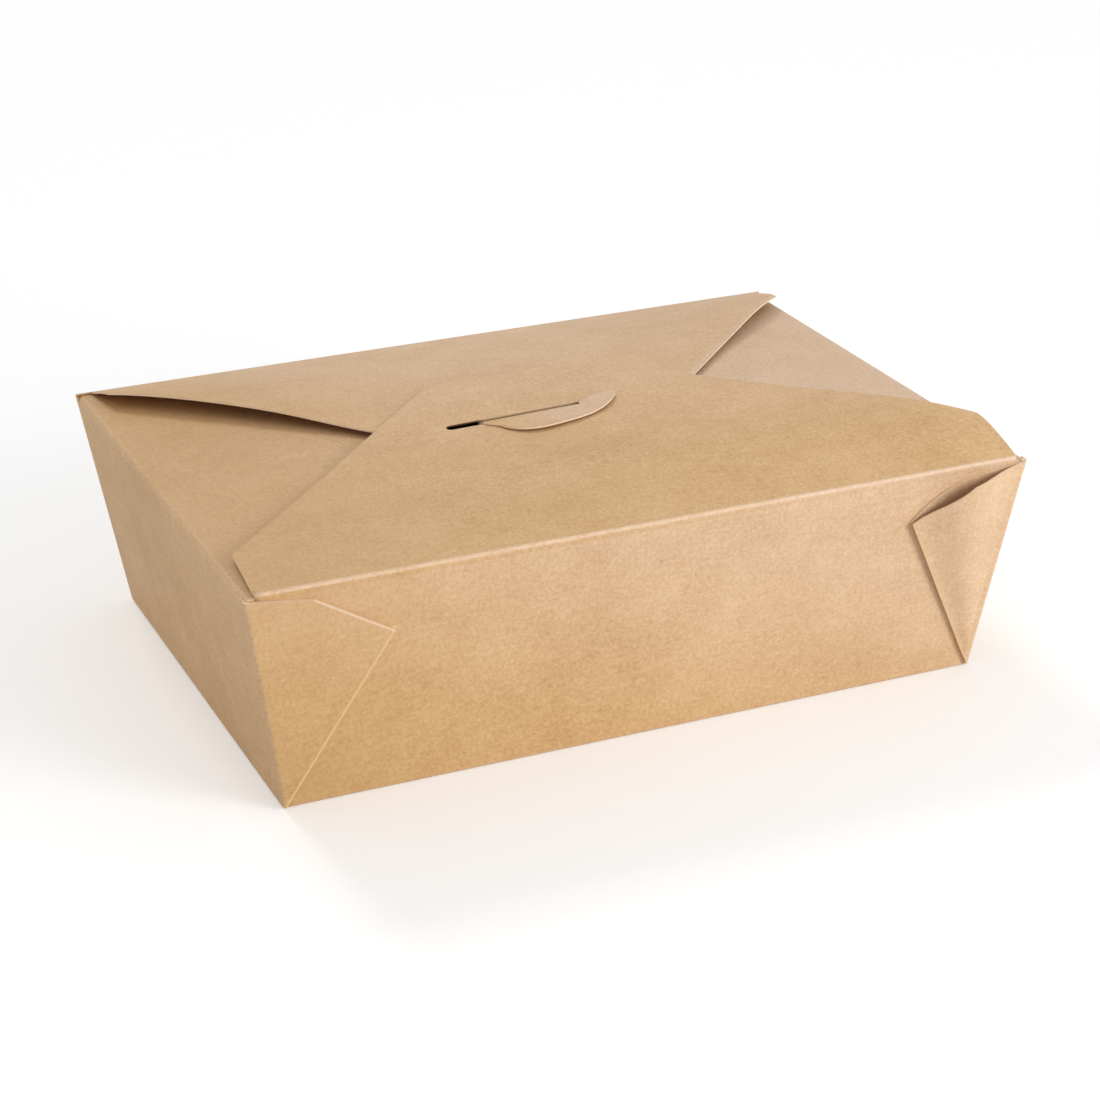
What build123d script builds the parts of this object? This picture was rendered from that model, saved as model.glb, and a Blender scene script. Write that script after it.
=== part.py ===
from build123d import *
from math import atan2, cos, degrees, hypot, pi, radians, sin, tan
import os

# A fold-top takeout box of kraft board, folded from one creased sheet. X runs along the
# long walls, +Y to the back, +Z up, and the origin is the middle of the underside.

# The board and its creases
board = 0.45                # thickness of the sheet
crease_radius = 0.9         # outside of an ordinary fold
left_crease_radius = 1.6    # the softer fold over the left end wall
right_crease_radius = 1.2   # and over the right one
lap_gap = 0.10              # air between two plies pressed together
corner_round = 1.2          # in the plan of the flaps' cut corners

# The tray, over its outer faces
base_length = 197.0
base_width = 137.6
mouth_length = 217.0
mouth_width = 154.4
wall_slant = 63.5           # from the base crease to the top crease, up a long wall
end_wall_drop = 0.55        # the end walls are this much lower, so that their flaps nest

# The corner webs, each folded onto a long wall in two plies
web_fold_reach = 55.2       # bottom corner to the tip of the diagonal fold
flat_fold_angle = 40.3      # between the corner edge and the diagonal fold of a flat web
open_fold_angle = 34.4      # and of the open web at the front right
web_bend_run = 18.0         # from the corner along the top cut to its bend
web_bend_drop = 2.6         # how far the cut has dropped at its bend
web_top_margin = 0.9        # the cut starts this far under the top crease
web_inner_lap = 1.9         # how far a corner runs back along the end wall
web_leg = 1.8               # flat stub beside the corner of the open web
web_fold_lap = 0.15
open_cut_bow = 1.4          # how far the inner ply of the open web bulges past its straight cut
pocket_bulge = 4.0          # how far the open web stands out in its middle
pocket_skew = 1.1           # above 1, the bulge is nearer the fold than the corner
pocket_fold_gap = 0.7       # extra room inside the open web's diagonal fold at its tip
web_step = 4.0              # spacing of the places that its curved ply is built on, along it
web_share_step = 0.035      # and across it, as a share of its angle

# The end flaps, which fold in first
end_flap_margin = 0.4       # the crease stops this far short of each long wall
end_flap_reach = 78.0
end_flap_ear = 8.0          # straight side of the flap before it tapers
left_flap_rise = 0.070      # slope of the flap beyond its crease
left_flap_bow = 770.0       # radius of its bow
right_flap_rise = 0.150
right_flap_bow = 312.0

# The back flap, over the end flaps
back_flap_margin = 3.0      # the crease stops this far short of each corner
back_flap_offset = 2.5      # it sits this far to the right
back_flap_ear = 14.6
back_ear_margin = 3.4       # the ears stop this far short of the ends
back_lift_left = 2.7        # height of the flap over the crease at its left side
back_lift_gain = 2.6        # how much higher its right side is
back_lift_power = 1.6
back_dome = 3.0             # how much further its free left part is domed
back_dome_length = 75.0     # from the crease to the front end of the dome
back_dome_edge = -27.0      # the dome starts to the left of here
back_dome_run = 40.0

# The front flap, on top
front_flap_margin = 3.0
front_flap_offset = 1.5
front_flap_ear = 22.0
front_ear_margin = 3.3
front_flap_reach = 105.15   # crease to the far edge
front_lift_left = 1.15
front_lift_gain = 5.6
front_lift_power = 1.25
front_step = 1.3            # extra height where it climbs over the back flap
front_step_start = 55.0     # distance from the crease where the climb starts
front_step_run = 35.0
front_step_fade = 0.6       # share of the climb that is lost towards the right
ear_droop = 2.0             # how far the flaps sag towards the right end crease
ear_droop_start = 88.0
ear_droop_run = 18.0
end_ramp = 16.0             # a flap reaches its height this far from its crease at its ends
front_end_ramp = 22.0
middle_ramp_gain = 32.0     # and this much further out in its middle

# The round crease that the front flap turns on
bead_radius = 0.5
bead_clearance = 0.12
bead_end_gap = 0.3

# The locking slit and the tongue through it
slit_left = -26.9
slit_right = 13.6
slit_near = -4.1            # edge of the slit that lies under the tongue
slit_width = 2.9
tongue_root_run = 4.2       # from the slit back to the edge of the back flap
tongue_left = -16.8
tongue_joint = 12.0         # the tongue's hooked end lies over the flap to the right of here
tongue_joint_lap = 0.3
tongue_clearance = 0.16     # between the tongue and the flap it passes through
tongue_bend = 0.7           # radius of its two bends at the slit, over its upper face
tongue_bend_margin = 0.15   # the bends are this far inside the slit's edges
tongue_rest = -9.0          # from here on the tongue curls up a little
tongue_rest_gap = 0.12
tongue_curl = 0.6           # how far the curl has risen at the tongue's free edge
tongue_end = -17.0
tongue_curl_radius = 45.0
tongue_slope = 0.027        # the lid rises this much per millimetre to the right
tongue_end_slope = 0.06     # and the tongue's hooked end this much more
tongue_neck = (-13.3, -8.0)
tongue_belly = ((-11.9, -10.9), (-9.4, -13.3), (-4.8, -14.8), (1.4, -14.3), (8.0, -12.9), (15.3, -9.9))
tongue_tip_low = (22.5, -3.3)
tongue_tip_high = (22.6, -0.3)
tongue_tip_radius = 2.0
tongue_shoulder = (15.7, -0.7)
tongue_notch = (12.0, -2.9)

# Worked out from the sizes above
wall_lean_y = (mouth_width - base_width) / 2
wall_lean_x = (mouth_length - base_length) / 2
mouth_height = (wall_slant**2 - wall_lean_y**2) ** 0.5
end_height = mouth_height - end_wall_drop
corner_run = Vector(wall_lean_x, -wall_lean_y, mouth_height)
corner_angle = degrees(atan2(wall_slant, wall_lean_x))
corner_slant = hypot(wall_slant, wall_lean_x)
ply_stack = 2 * (board + lap_gap)
long_ply = board * wall_slant / mouth_height
end_ply = board * hypot(wall_lean_x, mouth_height) / mouth_height
hinge_y = -mouth_width / 2 + board
hinge_z = mouth_height
slit_far = slit_near + slit_width
tongue_root_y = slit_far + tongue_root_run
shell_height = end_height - max(left_crease_radius, right_crease_radius)
front_plane = Plane(
    origin=(0, -base_width / 2, 0),
    x_dir=(1, 0, 0),
    z_dir=(0, -mouth_height, -wall_lean_y),
)
crease_margin = 0.3         # flat run of a fold beyond its bend
strip_lap = 1.0             # how far the tops of the walls run down into the shell
sheet_lap = 0.05            # how far a flap's surface starts inside its crease
sheet_step = 0.06           # and how far its face lies under the crease's
fit_tolerance = 0.02        # how closely a curved flap follows its formula
grid_step = 7.0


def fold_run(radius, lean):
    """Flat run of a fold over a leaning wall, from the wall's own top to the end of the bend."""
    return radius * tan((pi / 2 + atan2(lean, mouth_height)) / 2) + crease_margin


def end_start(radius):
    """How far from the middle the fold over an end wall ends and its flap starts."""
    top_half = mouth_length / 2 - wall_lean_x * end_wall_drop / mouth_height
    return top_half - fold_run(radius, wall_lean_x)


back_start_y = mouth_width / 2 - fold_run(crease_radius, wall_lean_y)


def smooth_step(value):
    """0 below 0, 1 above 1 and a smooth rise between."""
    value = min(max(value, 0.0), 1.0)
    return value * value * (3 - 2 * value)


def ramp(distance, x, end_length):
    """How much of its full height a long flap has at a distance from its crease."""
    across = 2 * x / mouth_length
    length = end_length + middle_ramp_gain * max(0.0, 1 - across * across)
    return sin(pi / 2 * min(max(distance, 0.0) / length, 1.0))


def lid_share(x):
    """0 at the left end of the lid and 1 at the right."""
    return min(max(x / mouth_length + 0.5, 0.0), 1.0)


def sag(x):
    """How far the long flaps hang down near the right end crease."""
    return ear_droop * (max(0.0, x - ear_droop_start) / ear_droop_run) ** 2


def back_flap_top(x, y):
    """Height of the back flap's upper face."""
    distance = back_start_y - y
    lift = back_lift_left + back_lift_gain * lid_share(x) ** back_lift_power - sag(x)
    dome = back_dome * smooth_step((back_dome_edge - x) / back_dome_run)
    dome *= sin(pi * min(max(distance / back_dome_length, 0.0), 1.0))
    return mouth_height - sheet_step + lift * ramp(distance, x, end_ramp) + dome


def front_flap_top(x, y):
    """Height of the front flap's upper face."""
    distance = y - hinge_y
    share = lid_share(x)
    climb = front_step * (1 - front_step_fade * share)
    climb *= smooth_step((distance - front_step_start) / front_step_run)
    lift = front_lift_left + front_lift_gain * share**front_lift_power - sag(x)
    return hinge_z + board + (lift + climb) * ramp(distance, x, front_end_ramp)


def end_flap_top(x, y, radius, rise, bow):
    """Height of an end flap's upper face, pressed down under both long flaps at its sides."""
    along = max(0.0, end_start(radius) - abs(x))
    natural = rise * along**2 / (along + radius) - along**2 / (2 * bow)
    pressed = ramp(y - hinge_y, x, front_end_ramp) * ramp(back_start_y - y, x, end_ramp)
    return end_height - sheet_step + natural * pressed


def left_flap_top(x, y):
    return end_flap_top(x, y, left_crease_radius, left_flap_rise, left_flap_bow)


def right_flap_top(x, y):
    return end_flap_top(x, y, right_crease_radius, right_flap_rise, right_flap_bow)


def stations(low, high, step):
    """Evenly spaced places from low to high, about one step apart."""
    count = max(3, round((high - low) / step))
    return [low + (high - low) * i / count for i in range(count + 1)]


def plan_prism(outline):
    """A tall solid over a closed outline in the plan."""
    return extrude(make_face(outline), amount=2 * mouth_height)


def sheet_of_board(top, x_range, y_range, outline):
    """Board whose upper face follows top(x, y), cut to an outline in the plan."""
    rows = [
        [Vector(x, y, top(x, y) - board) for x in stations(*x_range, grid_step)]
        for y in stations(*y_range, grid_step)
    ]
    under_face = Face.make_surface_from_array_of_points(rows, tol=fit_tolerance)
    return extrude(under_face, amount=board, dir=(0, 0, 1)) & plan_prism(outline)


def at_height(base_half, lean, z):
    """Half width of the tray over its outer faces at a height."""
    return base_half + lean * z / mouth_height


def tapered_block(low, high, inset_x, inset_y, radius):
    """The tray's shape between two heights, drawn in from its outer faces, with a rounded foot."""
    rectangles = [
        Pos(0, 0, z) * Rectangle(
            2 * (at_height(base_length / 2, wall_lean_x, z) - inset_x),
            2 * (at_height(base_width / 2, wall_lean_y, z) - inset_y),
        )
        for z in (low, high)
    ]
    block = loft(rectangles, ruled=True)
    return fillet(block.edges().group_by(Axis.Z)[0], radius)


def tray_shell():
    """Base and four walls up to just under the folds, with rounded base creases."""
    outside = tapered_block(0, shell_height, 0, 0, crease_radius)
    inside = tapered_block(board, shell_height + strip_lap, end_ply, long_ply, crease_radius - board)
    return outside - inside


def crease_line(base_half, lean, top, radius):
    """Outer face of the top of a wall and the fold over it, in the wall's own section."""
    return FilletPolyline(
        (at_height(base_half, lean, shell_height - strip_lap), shell_height - strip_lap),
        (at_height(base_half, lean, top), top),
        (at_height(base_half, lean, top) - fold_run(radius, lean), top),
        radius=radius,
    )


def crease_strip(line):
    """Section of the board under a bent line that is its outer face."""
    return make_face(offset(line, amount=board, side=Side.LEFT))


def long_wall_tops():
    """The plain top of the front wall, and the top of the back wall with its fold."""
    low = shell_height - strip_lap
    front_top = hinge_z - bead_radius - bead_clearance
    front = Polyline(
        (-at_height(base_width / 2, wall_lean_y, low), low),
        (-at_height(base_width / 2, wall_lean_y, low) + long_ply, low),
        (-at_height(base_width / 2, wall_lean_y, front_top) + long_ply, front_top),
        (-at_height(base_width / 2, wall_lean_y, front_top), front_top),
        close=True,
    )
    back = crease_line(base_width / 2, wall_lean_y, mouth_height, crease_radius)
    sections = [make_face(front), crease_strip(back)]
    half_low = at_height(base_length / 2, wall_lean_x, low - 1)
    half_high = at_height(base_length / 2, wall_lean_x, mouth_height + 1)
    ends = Polyline(
        (-half_low, low - 1),
        (half_low, low - 1),
        (half_high, mouth_height + 1),
        (-half_high, mouth_height + 1),
        close=True,
    )
    room = extrude(Plane.XZ * make_face(ends), amount=mouth_width, both=True)
    return [extrude(Plane.YZ * section, amount=mouth_length, both=True) & room for section in sections]


def end_wall_top(radius):
    """The top of the right end wall with its fold, out to the corners of the webs."""
    line = crease_line(base_length / 2, wall_lean_x, end_height, radius)
    half = mouth_width / 2 + ply_stack * long_ply / board - crease_radius
    return extrude(Plane.XZ * crease_strip(line), amount=half, both=True)


def web_point(angle, reach):
    """A place on a corner web, by its angle from the corner and its distance from the bottom corner."""
    turn = radians(corner_angle + angle)
    return (base_length / 2 + reach * cos(turn), reach * sin(turn))


def web_room(fold_angle, fold_margin=0, cut_bow=0):
    """A thick prism over the outline of the front right web, in the plane of the front wall."""
    low_corner = web_point(0, crease_radius)
    top_corner = web_point(0, corner_slant - web_top_margin)
    past_corner = crease_radius * web_bend_drop / web_bend_run
    bend = (top_corner[0] - web_bend_run, top_corner[1] - web_bend_drop)
    tip = web_point(fold_angle, web_fold_reach)
    low_fold = web_point(fold_angle, crease_radius)
    beyond = radians(corner_angle + fold_angle + 90)
    shift = (fold_margin * cos(beyond), fold_margin * sin(beyond))
    tip = (tip[0] + shift[0], tip[1] + shift[1])
    outline = Polyline(
        tip,
        (low_fold[0] + shift[0], low_fold[1] + shift[1]),
        (low_corner[0] + crease_radius, low_corner[1]),
        (top_corner[0] + crease_radius, top_corner[1] + past_corner),
        bend,
    )
    if cut_bow:
        outline += SagittaArc(bend, tip, -cut_bow)
    else:
        outline += Line(bend, tip)
    return extrude(front_plane * make_face(outline), amount=3 * pocket_bulge, both=True)


def beside_corner(distance):
    """A thick prism over the front wall, all of it that far from the right corner or further."""
    low = web_point(0, -web_fold_reach)
    high = web_point(0, 2 * web_fold_reach)
    outline = Polyline(
        (low[0] - distance, low[1]),
        (high[0] - distance, high[1]),
        (high[0] - base_length, high[1]),
        (low[0] - base_length, low[1]),
        close=True,
    )
    return extrude(front_plane * make_face(outline), amount=3 * pocket_bulge, both=True)


def corner_fold(outer_leg):
    """The end wall turned onto the front wall, over the ply folded back from the front wall."""
    side = ply_stack * long_ply / board
    gap = lap_gap * long_ply / board
    outer = Polyline(
        (-end_ply, -web_inner_lap),
        (0, -web_inner_lap),
        (0, side - crease_radius),
    )
    outer += RadiusArc((0, side - crease_radius), (-crease_radius, side), -crease_radius)
    outer += Polyline(
        (-crease_radius, side),
        (-outer_leg, side),
        (-outer_leg, side - long_ply),
        (-crease_radius, side - long_ply),
    )
    outer += RadiusArc(
        (-crease_radius, side - long_ply),
        (-end_ply, side - crease_radius),
        crease_radius - end_ply,
    )
    outer += Line((-end_ply, side - crease_radius), (-end_ply, -web_inner_lap))
    under = Polyline(
        (-web_fold_reach, gap),
        (-2 * end_ply, gap),
        (-2 * end_ply, -long_ply / 2),
        (-end_ply / 2, -long_ply / 2),
        (-end_ply / 2, gap + long_ply),
        (-web_fold_reach, gap + long_ply),
        close=True,
    )
    place = Plane(origin=(base_length / 2, -base_width / 2, 0), x_dir=(1, 0, 0), z_dir=(0, 0, -1))
    sections = [make_face(outer), make_face(under)]
    return [Solid.extrude((place * section).face(), corner_run) for section in sections]


def fold_frame(fold_angle, reach):
    """Plane across the diagonal fold, X away from the web and Y outwards from the wall."""
    place = front_plane.from_local_coords(Vector(*web_point(fold_angle, reach), 0))
    along = front_plane.from_local_coords(Vector(*web_point(fold_angle, reach + 1), 0)) - place
    return Plane(origin=place, x_dir=along.cross(front_plane.z_dir), z_dir=along)


def fold_ring(fold_angle, reach, room):
    """Half ring of board round the diagonal fold, with some room inside it."""
    inner = (lap_gap + room) / 2
    middle = lap_gap + board + inner
    ring = Circle(inner + board) - Circle(inner)
    side = 4 * (inner + board)
    half = Pos(0, middle) * (ring & Rectangle(side, side, align=(Align.MIN, Align.CENTER)))
    return fold_frame(fold_angle, reach) * half


def diagonal_fold(fold_angle, tip_room):
    """The bent board along the whole diagonal fold."""
    low = fold_ring(fold_angle, crease_radius, 0)
    return loft([low, fold_ring(fold_angle, web_fold_reach, tip_room)], ruled=True)


def flat_web():
    """The front right web pressed flat."""
    room = web_room(flat_fold_angle)
    plies = [piece & room for piece in corner_fold(web_fold_reach)]
    return plies + [diagonal_fold(flat_fold_angle, 0)]


def pocket_place(share, reach):
    """A place under the open web's outer ply, by its share of the web's angle and its reach."""
    inside = min(max(share, 0.0), 1.0)
    swell = pocket_bulge * sin(pi * inside**pocket_skew) ** 2 + pocket_fold_gap * inside**2
    stand_off = ply_stack - board - sheet_step + reach / web_fold_reach * swell
    return front_plane.from_local_coords(Vector(*web_point(share * open_fold_angle, reach), stand_off))


def open_web():
    """The front right web standing open as a pocket."""
    corner = corner_fold(crease_radius + web_leg)[0] & web_room(open_fold_angle)
    inner = corner_fold(web_fold_reach)[1] & web_room(open_fold_angle, cut_bow=open_cut_bow)
    reaches = stations(crease_radius / 2, corner_slant + 1, web_step)
    rows = [
        [pocket_place(share, reach) for reach in reaches]
        for share in stations(-web_share_step, 1 + web_share_step, web_share_step)
    ]
    under_face = Face.make_surface_from_array_of_points(rows, tol=fit_tolerance)
    sheet = extrude(under_face, amount=board, dir=front_plane.z_dir)
    outer = sheet & web_room(open_fold_angle, web_fold_lap)
    outer = outer & beside_corner(crease_radius + web_leg - web_fold_lap)
    return [corner, inner, outer, diagonal_fold(open_fold_angle, pocket_fold_gap)]


def end_flap(side, top, radius):
    """An end flap with its cut corners. The side is -1 at the left and 1 at the right."""
    inner_x = mouth_length / 2 - end_flap_reach
    start_x = end_start(radius) + sheet_lap
    ear_x = mouth_length / 2 - end_flap_ear
    half = mouth_width / 2 - end_flap_margin
    outline = FilletPolyline(
        (side * start_x, -half),
        (side * ear_x, -half),
        (side * inner_x, ear_x - inner_x - half),
        (side * inner_x, half - ear_x + inner_x),
        (side * ear_x, half),
        (side * start_x, half),
        radius=(corner_round,) * 4,
    )
    outline += Line((side * start_x, -half), (side * start_x, half))
    x_range = sorted((side * (inner_x - 1), side * (start_x + 1)))
    return sheet_of_board(top, x_range, (-half - 1, half + 1), outline)


def back_flap():
    """The back flap up to the straight edge that carries the tongue."""
    start_y = back_start_y + sheet_lap
    ear_y = mouth_width / 2 - back_flap_ear
    half_ear = mouth_length / 2 - back_ear_margin
    half_far = half_ear - (ear_y - tongue_root_y)
    half_crease = mouth_length / 2 - back_flap_margin
    middle = back_flap_offset
    outline = FilletPolyline(
        (middle / 2 - half_crease, start_y),
        (middle - half_ear, ear_y),
        (middle - half_far, tongue_root_y),
        (middle + half_far, tongue_root_y),
        (middle + half_ear, ear_y),
        (middle / 2 + half_crease, start_y),
        radius=(corner_round,) * 4,
    )
    outline += Line((middle / 2 - half_crease, start_y), (middle / 2 + half_crease, start_y))
    return sheet_of_board(
        back_flap_top,
        (middle - half_ear - 2, middle + half_ear + 2),
        (tongue_root_y - 1, start_y + 0.5),
        outline,
    )


def carton():
    """The tray, its webs and the three flaps that stay folded, in one piece."""
    flat = flat_web()
    webs = open_web()
    webs += [mirror(piece, about=Plane.YZ) for piece in flat]
    webs += [mirror(piece, about=Plane.XZ) for piece in flat]
    webs += [mirror(mirror(piece, about=Plane.XZ), about=Plane.YZ) for piece in flat]
    whole = tray_shell()
    pieces = long_wall_tops() + webs
    pieces += [end_wall_top(right_crease_radius), mirror(end_wall_top(left_crease_radius), about=Plane.YZ)]
    pieces += [
        end_flap(-1, left_flap_top, left_crease_radius),
        end_flap(1, right_flap_top, right_crease_radius),
        back_flap(),
    ]
    for piece in pieces:
        whole = whole + piece
    return whole


def front_flap():
    """The front flap with the slit through it, on the round crease it turns on."""
    ear_y = hinge_y + front_flap_ear
    far_y = hinge_y + front_flap_reach
    half_ear = mouth_length / 2 - front_ear_margin
    half_far = half_ear - (far_y - ear_y)
    half_crease = mouth_length / 2 - front_flap_margin
    middle = front_flap_offset
    outline = FilletPolyline(
        (-half_crease, hinge_y),
        (middle - half_ear, ear_y),
        (middle - half_far, far_y),
        (middle + half_far, far_y),
        (middle + half_ear, ear_y),
        (half_crease, hinge_y),
        radius=(corner_round,) * 4,
    )
    outline += Line((-half_crease, hinge_y), (half_crease, hinge_y))
    sheet = sheet_of_board(
        front_flap_top,
        (middle - half_ear - 2, middle + half_ear + 2),
        (hinge_y, far_y + 1),
        outline,
    )
    slit = SlotOverall(slit_right - slit_left, slit_width)
    slit = Pos((slit_left + slit_right) / 2, (slit_near + slit_far) / 2) * slit
    sheet = sheet - extrude(slit, amount=2 * mouth_height)
    bead = Plane(origin=(0, hinge_y, hinge_z), z_dir=(1, 0, 0)) * Circle(bead_radius)
    return sheet + extrude(bead, amount=half_crease - bead_end_gap, both=True)


def tongue_strip(points, radii, left, right, slope):
    """Board under a bent line that runs forwards, drawn from left to right up a slope."""
    line = FilletPolyline(*points, radius=radii)
    section = Plane.YZ * make_face(offset(line, amount=board, side=Side.LEFT))
    way = Vector(1, 0, slope)
    start = section.moved(Location(way * left))
    return Solid.extrude(start.face(), way * (right - left))


def lock_tongue():
    """The tongue of the back flap, up through the slit and over the front flap."""
    outline = Polyline((tongue_left, tongue_root_y), (tongue_left, slit_near - board), tongue_neck)
    outline += Spline(tongue_neck, *tongue_belly, tongue_tip_low)
    outline += RadiusArc(tongue_tip_low, tongue_tip_high, -tongue_tip_radius)
    outline += Polyline(
        tongue_tip_high,
        tongue_shoulder,
        tongue_notch,
        (tongue_joint, tongue_root_y),
        (tongue_left, tongue_root_y),
    )
    under = -board - tongue_clearance
    over = board + tongue_clearance
    low_bend = slit_far - tongue_bend_margin
    high_bend = slit_near + tongue_bend_margin
    over_points = [
        (high_bend, front_flap_top(0, high_bend) + over),
        (tongue_rest, front_flap_top(0, tongue_rest) + over + tongue_rest_gap),
        (tongue_end, front_flap_top(0, tongue_end) + over + tongue_rest_gap + tongue_curl),
    ]
    through = [
        (tongue_root_y, back_flap_top(0, tongue_root_y)),
        (low_bend, front_flap_top(0, low_bend) + under),
        *over_points,
    ]
    level = [(tongue_root_y, front_flap_top(0, tongue_root_y) + over), *over_points]
    bends = (tongue_bend, tongue_bend, tongue_curl_radius)
    joint = tongue_joint + tongue_joint_lap
    main_part = tongue_strip(through, bends, tongue_left - 1, joint, tongue_slope)
    raised = [(y, z + tongue_slope * tongue_joint) for y, z in level]
    end_part = tongue_strip(raised, bends[1:], 0, joint, tongue_slope + tongue_end_slope)
    end_part = Pos(tongue_joint, 0, 0) * end_part
    return (main_part + end_part) & plan_prism(outline)


def main():
    os.makedirs("parts", exist_ok=True)
    for name, shape in (
        ("front_flap", front_flap()),
        ("lock_tongue", lock_tongue()),
        ("carton", carton()),
    ):
        export_step(shape, f"parts/{name}.step")


main()
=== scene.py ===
import math

import bmesh
import bpy
from mathutils import Matrix, Vector
from mathutils.bvhtree import BVHTree


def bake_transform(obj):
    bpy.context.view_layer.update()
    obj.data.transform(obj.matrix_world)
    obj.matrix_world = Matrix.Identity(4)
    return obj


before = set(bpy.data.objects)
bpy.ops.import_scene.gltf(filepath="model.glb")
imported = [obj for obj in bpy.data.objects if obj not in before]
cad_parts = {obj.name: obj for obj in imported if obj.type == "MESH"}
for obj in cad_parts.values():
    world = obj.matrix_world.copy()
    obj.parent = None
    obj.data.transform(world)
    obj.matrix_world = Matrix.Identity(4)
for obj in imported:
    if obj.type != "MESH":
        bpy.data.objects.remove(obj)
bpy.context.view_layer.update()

# Lengths are in metres and angles in radians, unless a name says otherwise.

# The camera, solved from the box's outline in the photograph
CAMERA_PLACE = (-0.27642, -0.65269, 0.33393)
CAMERA_AZIMUTH = -0.406012
CAMERA_ELEVATION = 0.410850
CAMERA_ROLL = -0.010946
FOCAL_PIXELS = 2768.43
PHOTO_WIDTH = 1100
SENSOR_MM = 36.0
CLIP_START = 0.01

# The box's own sizes, as in the solids
HALF_BASE_X, HALF_BASE_Y = 0.0985, 0.0688
HALF_MOUTH_X, HALF_MOUTH_Y = 0.1085, 0.0772
MOUTH_Z = 0.062942
END_TOP_Z = 0.062392
BOARD = 0.00045
HINGE_Y, HINGE_Z = -0.07675, 0.062942
HALF_CREASE = 0.1055
WALL_LEAN = (HALF_MOUTH_Y - HALF_BASE_Y) / MOUTH_Z
WALL_SLOPE = math.hypot(HALF_MOUTH_Y - HALF_BASE_Y, MOUTH_Z)
SLIT_X, SLIT_Y = -0.00665, -0.00265
RIGHT_FLAP_EDGE = 0.0425        # x - y along the back flap's right slanted edge

# A corner web, folded flat against the front wall
WEB_STACK = 0.0011              # from the wall's face to the web's face
WEB_FOLD_REACH = 0.0554
FLAT_FOLD_DEGREES = 40.3
OPEN_FOLD_DEGREES = 34.4        # the front right web, which stands open
WEB_CUT_BEND = (-0.00814, 0.0600)
WEB_CUT_TIP = (-0.0287, 0.0471)

# Noises of the board: scale, detail, roughness
GRAIN = (1150.0, 3.0, 0.7)
CLOUD = (75.0, 5.0, 0.62)
BROAD = (14.0, 2.0, 0.5)
SWELL = (30.0, 2.0, 0.4)
RIDGE_WEAR = (160.0, 3.0, 0.6)
FIBRE_DETAIL, FIBRE_ROUGHNESS = 4.0, 0.6
# Fibres lie at three angles: scale, stretch along each axis, turn
FIBRES = (
    (420.0, (0.35, 1.9, 1.9), 0.12),
    (520.0, (1.8, 0.4, 1.2), 0.7),
    (640.0, (0.6, 1.8, 1.4), -0.9),
)
GRAIN_SHARE, CLOUD_SHARE, BROAD_SHARE = 1.25, 0.55, 0.5

# The strip round the front crease
STRIP_HALF = 0.10535
STRIP_COLUMNS = 120
STRIP_RUN = 0.0022              # down the wall, and onto the flap
STRIP_PROUD = 0.00005           # how far it stands over both boards
STRIP_THICK = 0.00012
STRIP_RADIUS = 0.0005
WALL_STEPS, ARC_STEPS, FLAP_STEPS = 2, 8, 4
WALL_GAP, FLAP_GAP = 0.0004, 0.0003
ARC_START_DEGREES, ARC_END_DEGREES = 172, 90


def srgb(red, green, blue):
    """A colour written as eight-bit screen values."""
    def linear(value):
        value /= 255
        return value / 12.92 if value <= 0.04045 else ((value + 0.055) / 1.055) ** 2.4
    return (linear(red), linear(green), linear(blue), 1)


WHITE = (1, 1, 1, 1)
KRAFT = srgb(205, 165, 115)
KRAFT_DARK = srgb(184, 142, 92)
KRAFT_LIGHT = srgb(222, 188, 143)
SHEEN_DARK = srgb(192, 158, 125)
SHEEN_LIGHT = srgb(226, 196, 166)
CUT_EDGE = srgb(234, 208, 178)
WEAR_HIGHLIGHT = srgb(236, 206, 180)
FOLD_HIGHLIGHT = srgb(232, 199, 148)
FLECK_DARK = srgb(128, 92, 60)
SLIT_SHADE = srgb(96, 58, 32)
FLOOR_COLOR = (0.84, 0.84, 0.84, 1)


def add_camera():
    """The photograph's own view."""
    data = bpy.data.cameras.new("photo_camera")
    data.sensor_width = SENSOR_MM
    data.lens = FOCAL_PIXELS * SENSOR_MM / PHOTO_WIDTH
    data.clip_start = CLIP_START
    camera = bpy.data.objects.new("photo_camera", data)
    bpy.context.collection.objects.link(camera)
    back = Vector((
        math.sin(CAMERA_AZIMUTH) * math.cos(CAMERA_ELEVATION),
        -math.cos(CAMERA_AZIMUTH) * math.cos(CAMERA_ELEVATION),
        math.sin(CAMERA_ELEVATION),
    ))
    right = Vector((0, 0, 1)).cross(back).normalized()
    up = back.cross(right)
    turned_right = math.cos(CAMERA_ROLL) * right + math.sin(CAMERA_ROLL) * up
    turned_up = -math.sin(CAMERA_ROLL) * right + math.cos(CAMERA_ROLL) * up
    turn = Matrix((turned_right, turned_up, back)).transposed()
    camera.matrix_world = Matrix.Translation(CAMERA_PLACE) @ turn.to_4x4()
    bpy.context.scene.camera = camera


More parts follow.
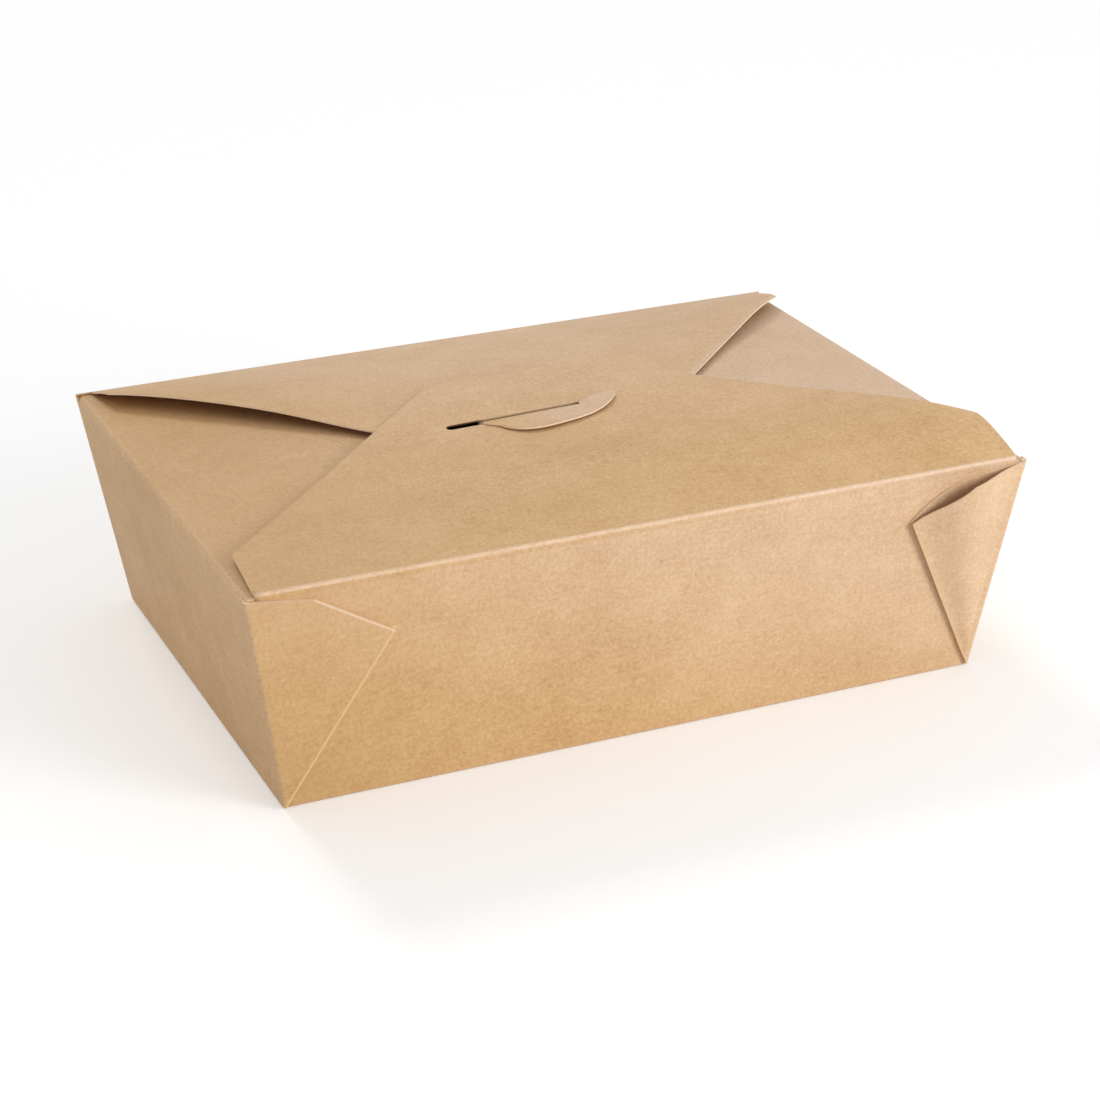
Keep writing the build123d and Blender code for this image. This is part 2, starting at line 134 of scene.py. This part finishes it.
class Nodes:
    """Short words for building a material's nodes."""

    def __init__(self, tree):
        tree.nodes.clear()
        self.tree = tree

    def add(self, kind, inputs=None, **settings):
        node = self.tree.nodes.new(kind)
        for name, value in settings.items():
            setattr(node, name, value)
        for name, value in (inputs or {}).items():
            if isinstance(value, bpy.types.NodeSocket):
                self.tree.links.new(value, node.inputs[name])
            else:
                node.inputs[name].default_value = value
        return node

    def math(self, operation, a, b=0.0, clamp=False):
        node = self.add("ShaderNodeMath", {0: a, 1: b}, operation=operation, use_clamp=clamp)
        return node.outputs[0]

    def join(self, operation, values):
        """One operation, run along several values."""
        result = values[0]
        for value in values[1:]:
            result = self.math(operation, result, value)
        return result

    def times(self, *values):
        return self.join("MULTIPLY", values)

    def plus(self, *values):
        return self.join("ADD", values)

    def most(self, *values):
        return self.join("MAXIMUM", values)

    def around(self, noise, share):
        """How far a noise lies from its middle, times its share."""
        return self.times(self.math("SUBTRACT", noise, 0.5), share)

    def vector(self, operation, a, b=(0, 0, 0), scale=None):
        inputs = {0: a, 1: b}
        if scale is not None:
            inputs["Scale"] = scale
        node = self.add("ShaderNodeVectorMath", inputs, operation=operation)
        return node.outputs["Value" if operation in ("DOT_PRODUCT", "LENGTH") else "Vector"]

    def fade(self, value, full, none):
        """1 where the value is at full, 0 where it is at none, smooth between."""
        inputs = {"Value": value, "From Min": none, "From Max": full}
        node = self.add("ShaderNodeMapRange", inputs, interpolation_type="SMOOTHSTEP")
        return node.outputs["Result"]

    def mix(self, share, a, b):
        """From colour a to colour b, by a share."""
        return self.add("ShaderNodeMix", {"Factor": share, 6: a, 7: b}, data_type="RGBA").outputs[2]

    def stretch(self, place, scale, turn=0.0):
        inputs = {"Vector": place, "Rotation": (0, 0, turn), "Scale": scale}
        return self.add("ShaderNodeMapping", inputs).outputs[0]

    def noise(self, place, scale, detail, roughness):
        inputs = {"Vector": place, "Scale": scale, "Detail": detail, "Roughness": roughness}
        return self.add("ShaderNodeTexNoise", inputs).outputs["Fac"]

    def line(self, place, start, end, full, none):
        """A soft line in space: 1 within full of it and 0 beyond none."""
        way = Vector(end) - Vector(start)
        from_start = self.vector("SUBTRACT", place, tuple(start))
        along = self.vector("DOT_PRODUCT", from_start, tuple(way / way.length_squared))
        along = self.math("MAXIMUM", self.math("MINIMUM", along, 1.0), 0.0)
        foot = self.vector("SCALE", tuple(way), scale=along)
        off = self.vector("LENGTH", self.vector("SUBTRACT", from_start, foot))
        return self.fade(off, full, none)

    def upright(self, normal):
        """1 on faces that stand upright."""
        return self.fade(self.math("ABSOLUTE", normal[2]), full=0.55, none=0.75)

    def seen_ray(self):
        """1 for rays that show the background to the camera, in gloss or through something clear."""
        rays = self.add("ShaderNodeLightPath").outputs
        return self.most(rays["Is Camera Ray"], rays["Is Glossy Ray"], rays["Is Transmission Ray"])

    def finish(self, surface, output="ShaderNodeOutputMaterial"):
        self.tree.links.new(surface.outputs[0], self.add(output).inputs["Surface"])


def front_point(along, up, off=0.0):
    """A place on the front wall, from its right bottom corner: along, up its slope and off it."""
    z = up * MOUTH_Z / WALL_SLOPE
    y = -HALF_BASE_Y - z * WALL_LEAN
    over = Vector((0, -MOUTH_Z, HALF_MOUTH_Y - HALF_BASE_Y)) * off / WALL_SLOPE
    return Vector((HALF_BASE_X + along, y, z)) + over


def fold_ends(degrees):
    """Both ends of the front right web's diagonal fold."""
    turn = math.atan2(WALL_SLOPE, HALF_MOUTH_X - HALF_BASE_X) + math.radians(degrees)
    tip = (WEB_FOLD_REACH * math.cos(turn), WEB_FOLD_REACH * math.sin(turn))
    return front_point(0, 0, WEB_STACK / 2), front_point(*tip, WEB_STACK / 2)


def board_fibres(kit, bent):
    """Short fibres at three angles."""
    layers = []
    for scale, stretch, turn in FIBRES:
        lying = kit.stretch(bent, stretch, turn)
        layers.append(kit.noise(lying, scale, FIBRE_DETAIL, FIBRE_ROUGHNESS))
    return kit.times(kit.plus(*layers), 1 / len(FIBRES))


def board_color(kit, tone, masks, x, normal):
    """Brown kraft, with painted sheen where it is paler and painted shade, browner, towards the left
    end.
    """
    ramp = kit.add("ShaderNodeValToRGB", {"Fac": tone})
    elements = ramp.color_ramp.elements
    elements[0].position, elements[0].color = 0.08, KRAFT_DARK
    elements[1].position, elements[1].color = 0.95, KRAFT_LIGHT
    elements.new(0.5).color = KRAFT
    # Painted sheen: a paler, cooler kraft mixed in where light would gleam off the board
    sheen_color = kit.mix(tone, SHEEN_DARK, SHEEN_LIGHT)
    color = kit.mix(masks["painted_sheen"], ramp.outputs["Color"], sheen_color)
    # Painted shade: browner towards the left end, but not on the left end wall itself
    not_end_wall = kit.fade(normal[0], full=-0.5, none=-0.9)
    left_shade = kit.times(kit.fade(x, full=-0.105, none=-0.02), not_end_wall, 0.32)
    return kit.mix(left_shade, color, KRAFT_DARK)


def board_flecks(kit, bent):
    """A few dark flecks of bark."""
    cells = kit.add("ShaderNodeTexVoronoi", {"Vector": bent, "Scale": 210.0}).outputs
    chosen = kit.add("ShaderNodeSeparateColor", {"Color": cells["Color"]}).outputs[0]
    small = kit.fade(cells["Distance"], full=0.04, none=0.10)
    return kit.times(small, kit.fade(chosen, full=0.93, none=0.90), 0.35)


def kraft_material(name, find_masks):
    """Kraft board: fibres, clouding, flecks, worn creases with painted highlights, fold lines with
    painted highlights, pale cut edges, painted sheen and painted shade.
    """
    material = bpy.data.materials.new(name)
    material.use_nodes = True
    kit = Nodes(material.node_tree)
    coordinates = kit.add("ShaderNodeTexCoord").outputs
    place = coordinates["Object"]
    normal = kit.add("ShaderNodeSeparateXYZ", {"Vector": coordinates["Normal"]}).outputs
    axes = kit.add("ShaderNodeSeparateXYZ", {"Vector": place}).outputs
    masks = {"edge": 0.0, "wear_and_highlight": 0.0, "fold": 0.0, "shade": 0.0, "painted_sheen": 0.0}
    masks.update(find_masks(kit, place, axes, normal))

    # Slow waves bend the fibres
    waves = kit.add("ShaderNodeTexNoise", {"Vector": place, "Scale": 90.0, "Detail": 2.0})
    bent = kit.vector("ADD", place, kit.vector("SCALE", waves.outputs["Color"], scale=0.004))
    fibre = board_fibres(kit, bent)
    grain = kit.noise(place, *GRAIN)
    tone = kit.plus(
        fibre,
        kit.around(grain, GRAIN_SHARE),
        kit.around(kit.noise(place, *CLOUD), CLOUD_SHARE),
        kit.around(kit.noise(place, *BROAD), BROAD_SHARE),
    )

    color = board_color(kit, tone, masks, axes[0], normal)
    color = kit.mix(board_flecks(kit, bent), color, FLECK_DARK)
    # Wear and a painted highlight along the creases, patchy with the fibres
    patchy = kit.fade(kit.times(kit.plus(fibre, grain), 0.5), full=0.62, none=0.40)
    wear_and_highlight = kit.times(masks["wear_and_highlight"], kit.plus(0.6, kit.times(patchy, 0.4)))
    color = kit.mix(kit.times(wear_and_highlight, 0.75), color, WEAR_HIGHLIGHT)
    # Painted highlight along the webs' folds
    color = kit.mix(kit.times(masks["fold"], 0.55), color, FOLD_HIGHLIGHT)
    color = kit.mix(kit.times(masks["edge"], 0.9), color, CUT_EDGE)
    # Painted shade in the slit, dark brown
    color = kit.mix(masks["shade"], color, SLIT_SHADE)

    height = kit.plus(kit.times(fibre, 0.6), kit.times(grain, 0.4))
    texture = kit.add("ShaderNodeBump", {"Height": height, "Strength": 0.35, "Distance": 0.00012})
    swell = kit.add("ShaderNodeBump", {
        "Height": kit.noise(place, *SWELL), "Strength": 0.5, "Distance": 0.0006,
        "Normal": texture.outputs["Normal"],
    })
    kit.finish(kit.add("ShaderNodeBsdfPrincipled", {
        "Base Color": color,
        "Roughness": kit.plus(0.50, kit.times(fibre, 0.16)),
        "Specular IOR Level": 0.42,
        "Normal": swell.outputs["Normal"],
    }))
    return material


def top_sheen(kit, x, y):
    """Painted sheen: the top is paler and cooler to the back and the right."""
    painted_sheen = kit.plus(kit.times(y, 7.0), kit.times(x, 1.5))
    painted_sheen = kit.math("MINIMUM", kit.math("ADD", painted_sheen, 0.24, clamp=True), 0.6)
    return kit.times(painted_sheen, kit.fade(x, full=-0.055, none=-0.095))


def flap_masks(kit, place, axes, normal):
    """The front flap: cut edges stand upright, the slit's own get painted shade, the crease wear
    with a painted highlight, and the top painted sheen.
    """
    x, y, z = axes
    upright = kit.upright(normal)
    beyond_crease = kit.fade(y, full=HINGE_Y + 0.0012, none=HINGE_Y + 0.0006)
    from_slit_x = kit.math("ABSOLUTE", kit.plus(x, -SLIT_X))
    from_slit_y = kit.math("ABSOLUTE", kit.plus(y, -SLIT_Y))
    in_slit = kit.times(kit.fade(from_slit_y, full=0.0019, none=0.0023),
                        kit.fade(from_slit_x, full=0.0208, none=0.0214))
    # Painted shade is near-black in the slit's open left end and lighter where the tongue fills it
    open_end = kit.plus(0.45, kit.times(kit.fade(x, full=-0.018, none=-0.015), 0.55))
    crease = ((-HALF_CREASE, HINGE_Y, HINGE_Z), (HALF_CREASE, HINGE_Y, HINGE_Z))
    return {
        "edge": kit.times(upright, beyond_crease),
        "wear_and_highlight": kit.line(place, *crease, full=0.0004, none=0.0013),
        "shade": kit.times(in_slit, upright, open_end),
        "painted_sheen": top_sheen(kit, x, y),
    }


def tongue_masks(kit, place, axes, normal):
    """The tongue: pale edges, and painted sheen, paler towards its hook."""
    return {"edge": kit.upright(normal), "painted_sheen": kit.fade(axes[0], full=0.012, none=-0.016)}


def crease_masks(kit, place, axes, normal):
    """The strip at the front crease: a worn ridge with a painted highlight, uneven along its length,
    and painted sheen.
    """
    x, y, z = axes
    ridge_y, ridge_z = HINGE_Y - 0.0004, HINGE_Z + 0.00025
    ends = ((-0.106, ridge_y, ridge_z), (0.106, ridge_y, ridge_z))
    ridge = kit.line(place, *ends, full=0.00035, none=0.0009)
    mark_level = kit.noise(kit.stretch(place, (1.0, 0.2, 0.2)), *RIDGE_WEAR)
    uneven = kit.fade(mark_level, full=0.62, none=0.25)
    front_sheen = kit.math("ADD", kit.times(x, 4.3), 0.45, clamp=True)
    on_flap = kit.fade(y, full=HINGE_Y + 0.0005, none=HINGE_Y - 0.0005)
    return {
        "wear_and_highlight": kit.times(ridge, kit.plus(0.6, kit.times(uneven, 0.36))),
        "painted_sheen": kit.mix(on_flap, front_sheen, top_sheen(kit, x, y)),
    }


def carton_masks(kit, place, axes, normal):
    """The carton: cut edges, painted highlights on the web folds, worn creases with painted
    highlights, and painted sheen on its paler places.
    """
    x, y, z = axes
    mirrored = kit.add("ShaderNodeCombineXYZ", {
        "X": kit.math("ABSOLUTE", x), "Y": kit.times(kit.math("ABSOLUTE", y), -1.0), "Z": z,
    }).outputs[0]
    front_right = kit.times(kit.fade(x, full=0.002, none=0.0), kit.fade(y, full=-0.002, none=0.0))
    return {
        "edge": kit.most(flap_cuts(kit, y, z, normal), web_cuts(kit, mirrored, axes, normal)),
        "wear_and_highlight": crease_wear_and_highlights(kit, mirrored),
        "fold": web_folds(kit, mirrored, front_right),
        "painted_sheen": carton_sheen(kit, axes, normal),
    }


def flap_cuts(kit, y, z, normal):
    """Upright faces above the mouth, but not the walls' own."""
    above = kit.fade(z, full=MOUTH_Z + 0.0003, none=MOUTH_Z + 0.0001)
    inside = kit.fade(kit.math("ABSOLUTE", y), full=0.0735, none=0.0745)
    return kit.times(kit.upright(normal), above, inside)


def web_cuts(kit, mirrored, axes, normal):
    """The webs' top cuts: faces outside the long walls that face upwards, and a pale line."""
    x, y, z = axes
    wall_depth = kit.plus(kit.times(z, WALL_LEAN), HALF_BASE_Y)
    past_wall = kit.math("SUBTRACT", kit.math("ABSOLUTE", y), wall_depth)
    outside = kit.fade(past_wall, full=0.00012, none=0.00004)
    facing_up = kit.fade(normal[2], full=0.55, none=0.35)
    faces = kit.times(outside, facing_up, kit.fade(z, full=0.040, none=0.036))
    ends = (front_point(*WEB_CUT_BEND, WEB_STACK), front_point(*WEB_CUT_TIP, WEB_STACK))
    line = kit.line(mirrored, *ends, full=0.0003, none=0.0008)
    return kit.most(faces, kit.times(line, 0.85, kit.fade(x, full=-0.002, none=0.0)))


def web_folds(kit, mirrored, front_right):
    """Painted highlights along the webs' diagonal folds, fainter on the front right web, which
    stands open.
    """
    elsewhere = kit.math("SUBTRACT", 1.0, front_right)
    flat = kit.line(mirrored, *fold_ends(FLAT_FOLD_DEGREES), full=0.00062, none=0.00095)
    open_web = kit.line(mirrored, *fold_ends(OPEN_FOLD_DEGREES), full=0.0007, none=0.0014)
    return kit.most(kit.times(flat, elsewhere), kit.times(open_web, 0.3, front_right))


def crease_wear_and_highlights(kit, mirrored):
    """Creases with wear and a painted highlight, each with its ends, the widths of its line and how
    strong its wear and painted highlight are.
    """
    creases = (
        ((0, -HALF_MOUTH_Y, MOUTH_Z), (HALF_CREASE, -HALF_MOUTH_Y, MOUTH_Z), 0.0003, 0.0012, 1.0),
        ((HALF_MOUTH_X, 0, END_TOP_Z), (HALF_MOUTH_X, -HALF_MOUTH_Y, END_TOP_Z),
         0.0003, 0.0030, 0.18),
        ((HALF_BASE_X, -HALF_BASE_Y - WEB_STACK, 0),
         (HALF_MOUTH_X, -HALF_MOUTH_Y - WEB_STACK, MOUTH_Z), 0.0003, 0.0011, 0.3),
        ((HALF_BASE_X, 0, 0), (HALF_BASE_X, -HALF_BASE_Y, 0), 0.0002, 0.0011, 0.4),
        ((0, -HALF_BASE_Y, 0), (HALF_BASE_X, -HALF_BASE_Y, 0), 0.0002, 0.0011, 0.4),
    )
    return kit.most(*[
        kit.times(kit.line(mirrored, start, end, full, none), mark_level)
        for start, end, full, none, mark_level in creases
    ])


def carton_sheen(kit, axes, normal):
    """Painted sheen, paler: the right end flap, the top to the back, and the front wall up and to
    the right.
    """
    x, y, z = axes
    past_edge = kit.plus(kit.math("SUBTRACT", x, y), -RIGHT_FLAP_EDGE)
    end_flap = kit.times(kit.fade(past_edge, full=0.0002, none=-0.0002),
                         kit.fade(z, full=0.0612, none=0.0606))
    on_top = kit.times(kit.most(top_sheen(kit, x, y), end_flap),
                       kit.fade(normal[2], full=0.6, none=0.3))
    painted_sheen = kit.plus(kit.times(x, 4.3), kit.times(z, 12.0))
    painted_sheen = kit.math("MINIMUM", kit.math("SUBTRACT", painted_sheen, 0.02, clamp=True), 0.65)
    return kit.plus(on_top, kit.times(painted_sheen, kit.fade(normal[1], full=-0.6, none=-0.3)))


def add_floor():
    """A plain pale floor that keeps the box's shadow."""
    bpy.ops.mesh.primitive_plane_add(size=8, location=(0, 0, 0))
    floor = bpy.context.object
    floor.name = "floor"
    material = bpy.data.materials.new("floor")
    material.use_nodes = True
    kit = Nodes(material.node_tree)
    diffuse = kit.add("ShaderNodeBsdfDiffuse", {"Color": FLOOR_COLOR})
    lift = kit.times(kit.seen_ray(), 0.25)
    glow = kit.add("ShaderNodeEmission", {"Color": WHITE, "Strength": lift})
    kit.finish(kit.add("ShaderNodeAddShader", {0: diffuse.outputs[0], 1: glow.outputs[0]}))
    floor.data.materials.append(material)


def add_world():
    """White to look at, and soft as a light."""
    world = bpy.data.worlds.new("studio")
    bpy.context.scene.world = world
    world.use_nodes = True
    kit = Nodes(world.node_tree)
    soft = kit.add("ShaderNodeBackground", {"Color": WHITE, "Strength": 0.62})
    white = kit.add("ShaderNodeBackground", {"Color": WHITE, "Strength": 1.0})
    mixed = kit.add("ShaderNodeMixShader", {
        "Fac": kit.seen_ray(), 1: soft.outputs[0], 2: white.outputs[0],
    })
    kit.finish(mixed, "ShaderNodeOutputWorld")


def add_lamp(name, kind, energy, **settings):
    data = bpy.data.lights.new(name, kind)
    data.energy = energy
    for setting, value in settings.items():
        setattr(data, setting, value)
    lamp = bpy.data.objects.new(name, data)
    bpy.context.collection.objects.link(lamp)
    return lamp


def add_sun(name, toward, wide_degrees, strength):
    """A wide, even lamp that shines from a direction."""
    lamp = add_lamp(name, "SUN", strength, angle=math.radians(wide_degrees))
    lamp.rotation_euler = Vector(toward).to_track_quat("Z", "Y").to_euler()


def add_disk(name, place, target, size, watts):
    """A round lamp that shines on a target."""
    lamp = add_lamp(name, "AREA", watts, shape="DISK", size=size)
    lamp.location = place
    lamp.rotation_euler = (Vector(target) - Vector(place)).to_track_quat("-Z", "Y").to_euler()


def strip_section(flap_surface, x):
    """The crease strip across: up the wall, round the crease and onto the flap."""
    section = []
    for k in range(WALL_STEPS + 1):
        z = HINGE_Z - STRIP_RUN + k * (STRIP_RUN - WALL_GAP) / WALL_STEPS
        # Its lower end starts just inside the wall
        out = STRIP_PROUD * (k - 0.6)
        section.append((x, -HALF_BASE_Y - WALL_LEAN * z - out, z))
    radius = STRIP_RADIUS + STRIP_PROUD
    for k in range(ARC_STEPS + 1):
        turned = k * (ARC_START_DEGREES - ARC_END_DEGREES) / ARC_STEPS
        angle = math.radians(ARC_START_DEGREES - turned)
        section.append((x, HINGE_Y + radius * math.cos(angle), HINGE_Z + radius * math.sin(angle)))
    for k in range(1, FLAP_STEPS + 1):
        y = HINGE_Y + FLAP_GAP + k * (STRIP_RUN - FLAP_GAP) / FLAP_STEPS
        hit = flap_surface.ray_cast(Vector((x, y, 0.1)), Vector((0, 0, -1)))[0]
        # Beside the flap's slanted end there is nothing to hit
        z = hit.z if hit else HINGE_Z + BOARD
        # Its far end sinks into the flap
        section.append((x, y, z + STRIP_PROUD * (1.4 - 0.6 * k)))
    return section


def add_front_crease(material):
    """The bent board of the front crease, from the front wall up and onto the front flap."""
    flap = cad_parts["front_flap"]
    surface = BVHTree.FromObject(flap, bpy.context.evaluated_depsgraph_get())
    mesh = bmesh.new()
    grid = []
    for i in range(STRIP_COLUMNS + 1):
        x = -STRIP_HALF + 2 * STRIP_HALF * i / STRIP_COLUMNS
        grid.append([mesh.verts.new(point) for point in strip_section(surface, x)])
    for left, right in zip(grid, grid[1:]):
        for k in range(len(left) - 1):
            mesh.faces.new((left[k], left[k + 1], right[k + 1], right[k]))
    bmesh.ops.recalc_face_normals(mesh, faces=mesh.faces)
    data = bpy.data.meshes.new("front_crease")
    mesh.to_mesh(data)
    mesh.free()
    data.materials.append(material)
    for face in data.polygons:
        face.use_smooth = True
    piece = bpy.data.objects.new("front_crease", data)
    bpy.context.collection.objects.link(piece)
    shell = piece.modifiers.new("board", "SOLIDIFY")
    shell.thickness = STRIP_THICK
    shell.offset = -1
    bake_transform(piece)


bpy.context.scene.view_settings.view_transform = "Standard"
add_camera()
add_world()
add_floor()
add_sun("overhead", toward=(-0.12, 0.72, 0.68), wide_degrees=16, strength=0.80)
add_sun("front", toward=(0.62, -0.75, 0.22), wide_degrees=35, strength=1.05)
add_disk("right_front", place=(0.40, -0.62, 0.26), target=(0.03, -0.075, 0.03), size=0.4, watts=1.6)

materials = {
    "carton": kraft_material("kraft_carton", carton_masks),
    "front_flap": kraft_material("kraft_flap", flap_masks),
    "lock_tongue": kraft_material("kraft_tongue", tongue_masks),
}
for node_name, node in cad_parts.items():
    for material_slot in node.material_slots:
        material_slot.material = materials[node_name]
add_front_crease(kraft_material("kraft_crease", crease_masks))
